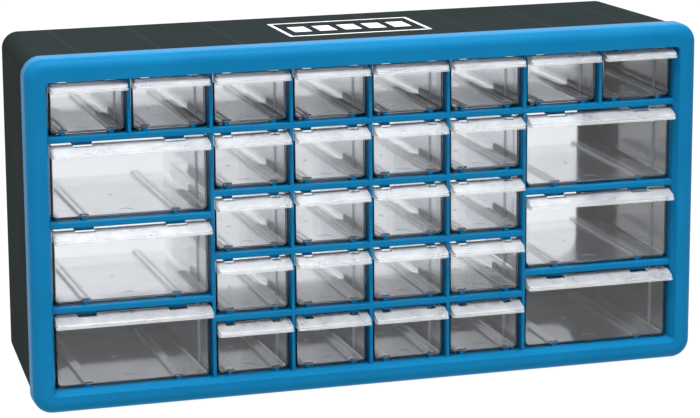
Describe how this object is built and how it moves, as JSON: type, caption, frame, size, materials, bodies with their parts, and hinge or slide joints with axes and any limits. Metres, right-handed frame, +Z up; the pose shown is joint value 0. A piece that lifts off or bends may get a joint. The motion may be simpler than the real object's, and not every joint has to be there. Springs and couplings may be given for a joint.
{
  "type": "small parts organizer",
  "caption": "Desktop or wall storage cabinet for small parts: clear sliding drawers in two sizes behind a blue lattice frame on a tapered black case.",
  "frame": {"origin": "middle of the footprint, on the surface the cabinet stands on", "axes": "+X to the right across the front, +Y from the front to the rear, +Z up"},
  "size_m": [0.5, 0.151, 0.254],
  "materials": {
    "black_case": "fine moulded grain, black polypropylene",
    "blue_frame": "satin moulded blue polypropylene",
    "clear_drawer": "clear moulded polystyrene"
  },
  "bodies": {
    "cabinet": {"case_shell": "black_case", "drawer_runners": "black_case", "front_rim": "blue_frame", "lattice_bars": "blue_frame", "lattice_dividers": "blue_frame"},
    "small_drawer_row1_1_body": {"small_drawer_row1_1": "clear_drawer"},
    "small_drawer_row1_2_body": {"small_drawer_row1_2": "clear_drawer"},
    "small_drawer_row1_3_body": {"small_drawer_row1_3": "clear_drawer"},
    "small_drawer_row1_4_body": {"small_drawer_row1_4": "clear_drawer"},
    "small_drawer_row1_5_body": {"small_drawer_row1_5": "clear_drawer"},
    "small_drawer_row1_6_body": {"small_drawer_row1_6": "clear_drawer"},
    "small_drawer_row1_7_body": {"small_drawer_row1_7": "clear_drawer"},
    "small_drawer_row1_8_body": {"small_drawer_row1_8": "clear_drawer"},
    "small_drawer_row5_3_body": {"small_drawer_row5_3": "clear_drawer"},
    "small_drawer_row5_4_body": {"small_drawer_row5_4": "clear_drawer"},
    "small_drawer_row5_5_body": {"small_drawer_row5_5": "clear_drawer"},
    "small_drawer_row5_6_body": {"small_drawer_row5_6": "clear_drawer"},
    "small_drawer_row4_3_body": {"small_drawer_row4_3": "clear_drawer"},
    "small_drawer_row4_4_body": {"small_drawer_row4_4": "clear_drawer"},
    "small_drawer_row4_5_body": {"small_drawer_row4_5": "clear_drawer"},
    "small_drawer_row4_6_body": {"small_drawer_row4_6": "clear_drawer"},
    "small_drawer_row3_3_body": {"small_drawer_row3_3": "clear_drawer"},
    "small_drawer_row3_4_body": {"small_drawer_row3_4": "clear_drawer"},
    "small_drawer_row3_5_body": {"small_drawer_row3_5": "clear_drawer"},
    "small_drawer_row3_6_body": {"small_drawer_row3_6": "clear_drawer"},
    "small_drawer_row2_3_body": {"small_drawer_row2_3": "clear_drawer"},
    "small_drawer_row2_4_body": {"small_drawer_row2_4": "clear_drawer"},
    "small_drawer_row2_5_body": {"small_drawer_row2_5": "clear_drawer"},
    "small_drawer_row2_6_body": {"small_drawer_row2_6": "clear_drawer"},
    "large_drawer_left_3_body": {"large_drawer_left_3": "clear_drawer"},
    "large_drawer_left_2_body": {"large_drawer_left_2": "clear_drawer"},
    "large_drawer_left_1_body": {"large_drawer_left_1": "clear_drawer"},
    "large_drawer_right_3_body": {"large_drawer_right_3": "clear_drawer"},
    "large_drawer_right_2_body": {"large_drawer_right_2": "clear_drawer"},
    "large_drawer_right_1_body": {"large_drawer_right_1": "clear_drawer"}
  },
  "joints": [
    {"name": "small_drawer_row1_1_slide", "type": "slide", "parent": "cabinet", "child": "small_drawer_row1_1_body", "axis": [0, -1, 0], "range_m": [0, 0.122]},
    {"name": "small_drawer_row1_2_slide", "type": "slide", "parent": "cabinet", "child": "small_drawer_row1_2_body", "axis": [0, -1, 0], "range_m": [0, 0.122]},
    {"name": "small_drawer_row1_3_slide", "type": "slide", "parent": "cabinet", "child": "small_drawer_row1_3_body", "axis": [0, -1, 0], "range_m": [0, 0.122]},
    {"name": "small_drawer_row1_4_slide", "type": "slide", "parent": "cabinet", "child": "small_drawer_row1_4_body", "axis": [0, -1, 0], "range_m": [0, 0.122]},
    {"name": "small_drawer_row1_5_slide", "type": "slide", "parent": "cabinet", "child": "small_drawer_row1_5_body", "axis": [0, -1, 0], "range_m": [0, 0.122]},
    {"name": "small_drawer_row1_6_slide", "type": "slide", "parent": "cabinet", "child": "small_drawer_row1_6_body", "axis": [0, -1, 0], "range_m": [0, 0.122]},
    {"name": "small_drawer_row1_7_slide", "type": "slide", "parent": "cabinet", "child": "small_drawer_row1_7_body", "axis": [0, -1, 0], "range_m": [0, 0.122]},
    {"name": "small_drawer_row1_8_slide", "type": "slide", "parent": "cabinet", "child": "small_drawer_row1_8_body", "axis": [0, -1, 0], "range_m": [0, 0.122]},
    {"name": "small_drawer_row5_3_slide", "type": "slide", "parent": "cabinet", "child": "small_drawer_row5_3_body", "axis": [0, -1, 0], "range_m": [0, 0.122]},
    {"name": "small_drawer_row5_4_slide", "type": "slide", "parent": "cabinet", "child": "small_drawer_row5_4_body", "axis": [0, -1, 0], "range_m": [0, 0.122]},
    {"name": "small_drawer_row5_5_slide", "type": "slide", "parent": "cabinet", "child": "small_drawer_row5_5_body", "axis": [0, -1, 0], "range_m": [0, 0.122]},
    {"name": "small_drawer_row5_6_slide", "type": "slide", "parent": "cabinet", "child": "small_drawer_row5_6_body", "axis": [0, -1, 0], "range_m": [0, 0.122]},
    {"name": "small_drawer_row4_3_slide", "type": "slide", "parent": "cabinet", "child": "small_drawer_row4_3_body", "axis": [0, -1, 0], "range_m": [0, 0.122]},
    {"name": "small_drawer_row4_4_slide", "type": "slide", "parent": "cabinet", "child": "small_drawer_row4_4_body", "axis": [0, -1, 0], "range_m": [0, 0.122]},
    {"name": "small_drawer_row4_5_slide", "type": "slide", "parent": "cabinet", "child": "small_drawer_row4_5_body", "axis": [0, -1, 0], "range_m": [0, 0.122]},
    {"name": "small_drawer_row4_6_slide", "type": "slide", "parent": "cabinet", "child": "small_drawer_row4_6_body", "axis": [0, -1, 0], "range_m": [0, 0.122]},
    {"name": "small_drawer_row3_3_slide", "type": "slide", "parent": "cabinet", "child": "small_drawer_row3_3_body", "axis": [0, -1, 0], "range_m": [0, 0.122]},
    {"name": "small_drawer_row3_4_slide", "type": "slide", "parent": "cabinet", "child": "small_drawer_row3_4_body", "axis": [0, -1, 0], "range_m": [0, 0.122]},
    {"name": "small_drawer_row3_5_slide", "type": "slide", "parent": "cabinet", "child": "small_drawer_row3_5_body", "axis": [0, -1, 0], "range_m": [0, 0.122]},
    {"name": "small_drawer_row3_6_slide", "type": "slide", "parent": "cabinet", "child": "small_drawer_row3_6_body", "axis": [0, -1, 0], "range_m": [0, 0.122]},
    {"name": "small_drawer_row2_3_slide", "type": "slide", "parent": "cabinet", "child": "small_drawer_row2_3_body", "axis": [0, -1, 0], "range_m": [0, 0.122]},
    {"name": "small_drawer_row2_4_slide", "type": "slide", "parent": "cabinet", "child": "small_drawer_row2_4_body", "axis": [0, -1, 0], "range_m": [0, 0.122]},
    {"name": "small_drawer_row2_5_slide", "type": "slide", "parent": "cabinet", "child": "small_drawer_row2_5_body", "axis": [0, -1, 0], "range_m": [0, 0.122]},
    {"name": "small_drawer_row2_6_slide", "type": "slide", "parent": "cabinet", "child": "small_drawer_row2_6_body", "axis": [0, -1, 0], "range_m": [0, 0.122]},
    {"name": "large_drawer_left_3_slide", "type": "slide", "parent": "cabinet", "child": "large_drawer_left_3_body", "axis": [0, -1, 0], "range_m": [0, 0.122]},
    {"name": "large_drawer_left_2_slide", "type": "slide", "parent": "cabinet", "child": "large_drawer_left_2_body", "axis": [0, -1, 0], "range_m": [0, 0.122]},
    {"name": "large_drawer_left_1_slide", "type": "slide", "parent": "cabinet", "child": "large_drawer_left_1_body", "axis": [0, -1, 0], "range_m": [0, 0.122]},
    {"name": "large_drawer_right_3_slide", "type": "slide", "parent": "cabinet", "child": "large_drawer_right_3_body", "axis": [0, -1, 0], "range_m": [0, 0.122]},
    {"name": "large_drawer_right_2_slide", "type": "slide", "parent": "cabinet", "child": "large_drawer_right_2_body", "axis": [0, -1, 0], "range_m": [0, 0.122]},
    {"name": "large_drawer_right_1_slide", "type": "slide", "parent": "cabinet", "child": "large_drawer_right_1_body", "axis": [0, -1, 0], "range_m": [0, 0.122]}
  ]
}
